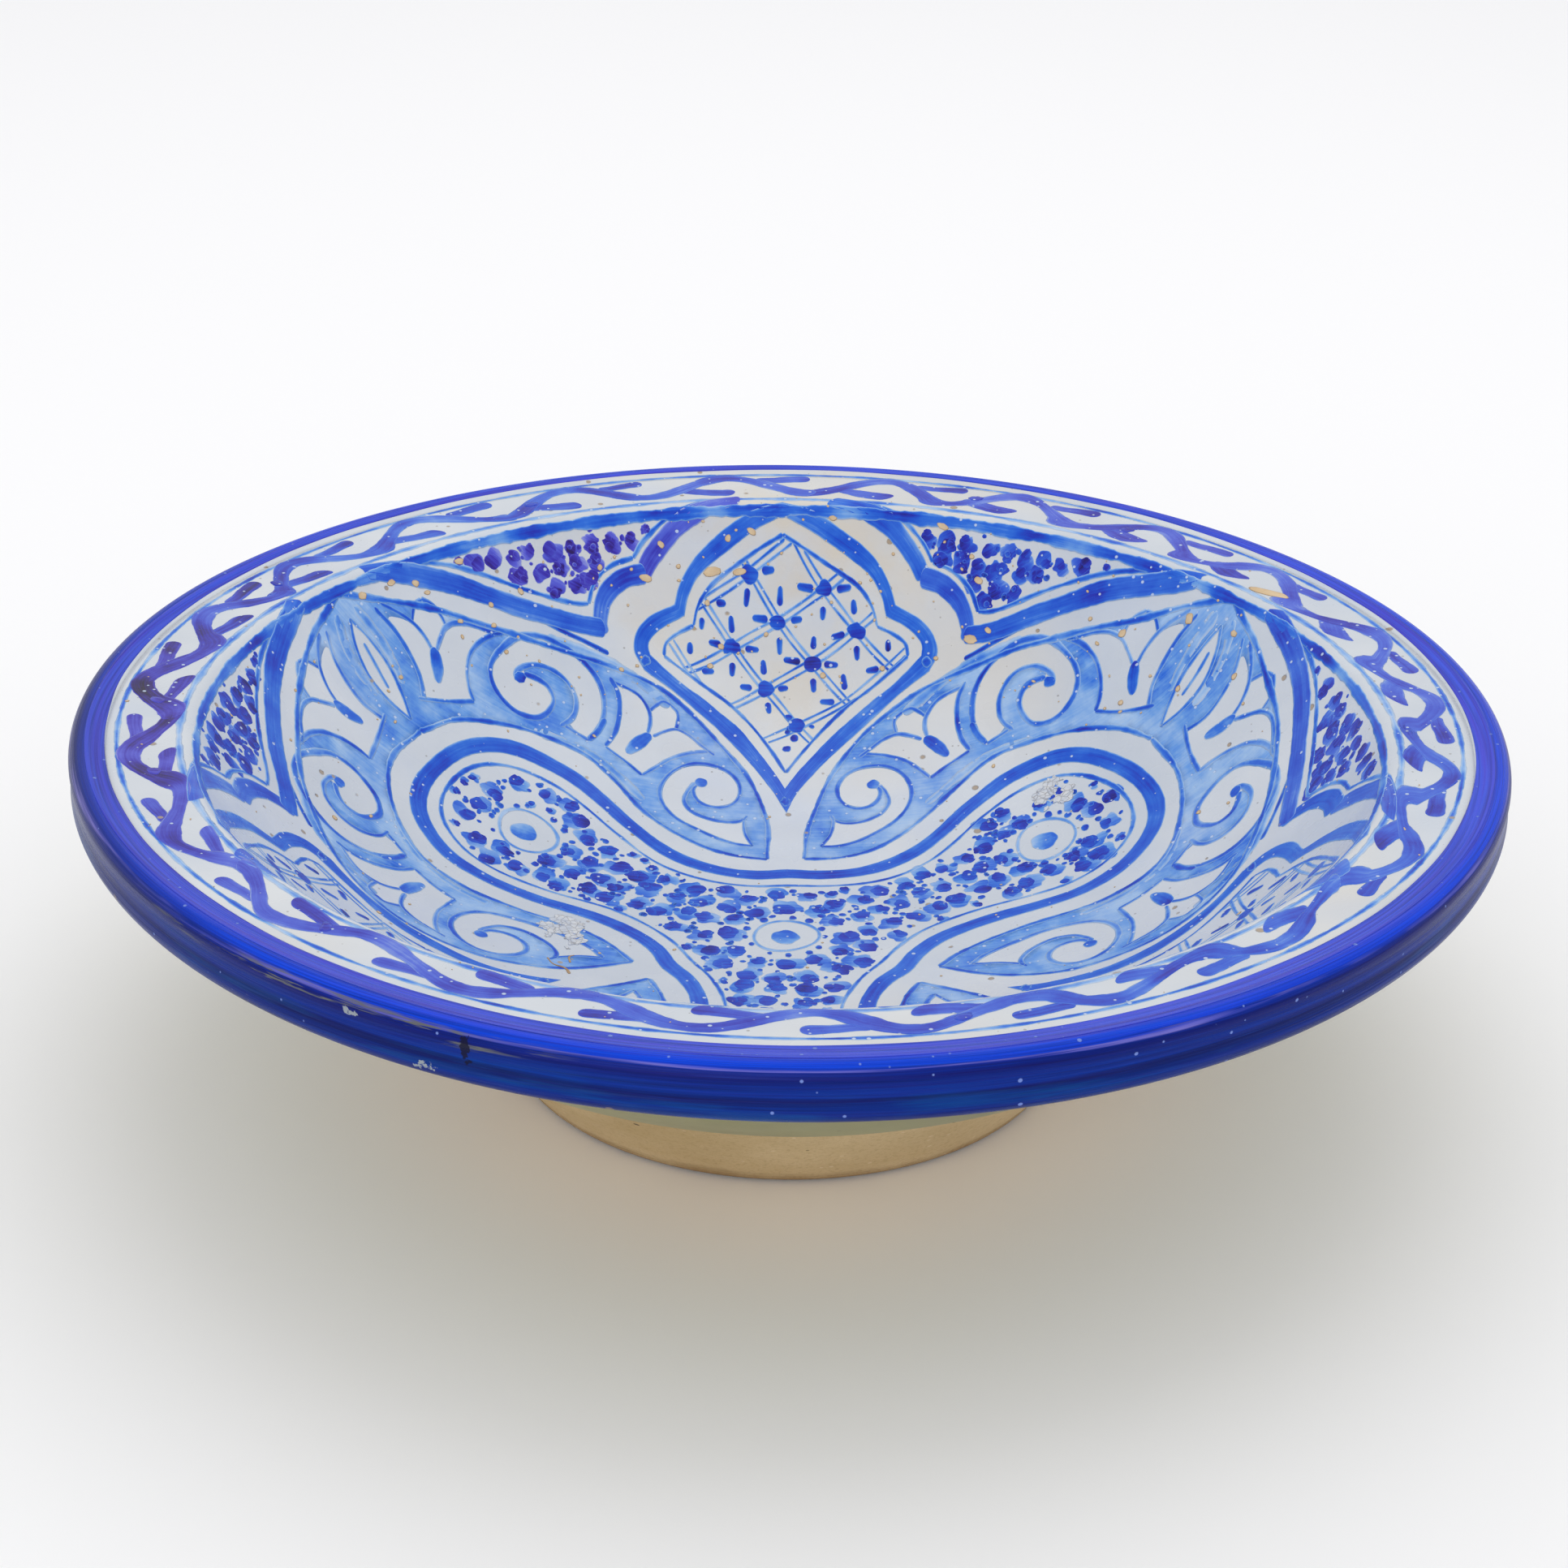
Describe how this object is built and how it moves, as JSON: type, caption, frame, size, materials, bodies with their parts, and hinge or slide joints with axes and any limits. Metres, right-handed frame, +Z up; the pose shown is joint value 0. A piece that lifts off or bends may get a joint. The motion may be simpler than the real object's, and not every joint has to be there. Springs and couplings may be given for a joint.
{
  "type": "plate",
  "caption": "Deep round footed serving plate in tin-glazed earthenware, hand painted in cobalt blue with a lobed star, petals, lattice cartouches and a vine scroll round the flange.",
  "frame": {"origin": "centre of the resting face under the foot ring", "axes": "+Z up through the middle of the well, +Y towards one of the three cartouches, +X to the right of it"},
  "size_m": [0.3599, 0.36, 0.097],
  "materials": {
    "bare_clay": "unglazed, matt, fine sandy grain with dark specks",
    "white_glaze": "glossy opaque tin glaze with pinholes and small pits",
    "cobalt_lip_glaze": "glossy, streaked with brush marks, worn along the crest",
    "underside_glaze": "thin glossy greenish grey glaze over the clay",
    "cobalt_brushwork": "glossy cobalt brush strokes of uneven density",
    "cobalt_wash": "glossy, pale watered cobalt wash"
  },
  "bodies": {
    "root": {"bowl_body": "bare_clay", "foot_ring": "bare_clay", "rim_bead": "bare_clay", "face_glaze": "white_glaze", "lip_glaze": "cobalt_lip_glaze", "underside_glaze": "underside_glaze", "flange_outer_line": "cobalt_wash", "flange_inner_ribbon": "cobalt_wash", "well_edge_line": "cobalt_brushwork", "vine_scroll": "cobalt_brushwork", "star_band": "cobalt_brushwork", "star_line": "cobalt_wash", "centre_rings": "cobalt_wash", "petal_washes": "cobalt_wash", "cartouche_bands": "cobalt_brushwork", "spandrel_bands": "cobalt_brushwork"}
  },
  "joints": []
}
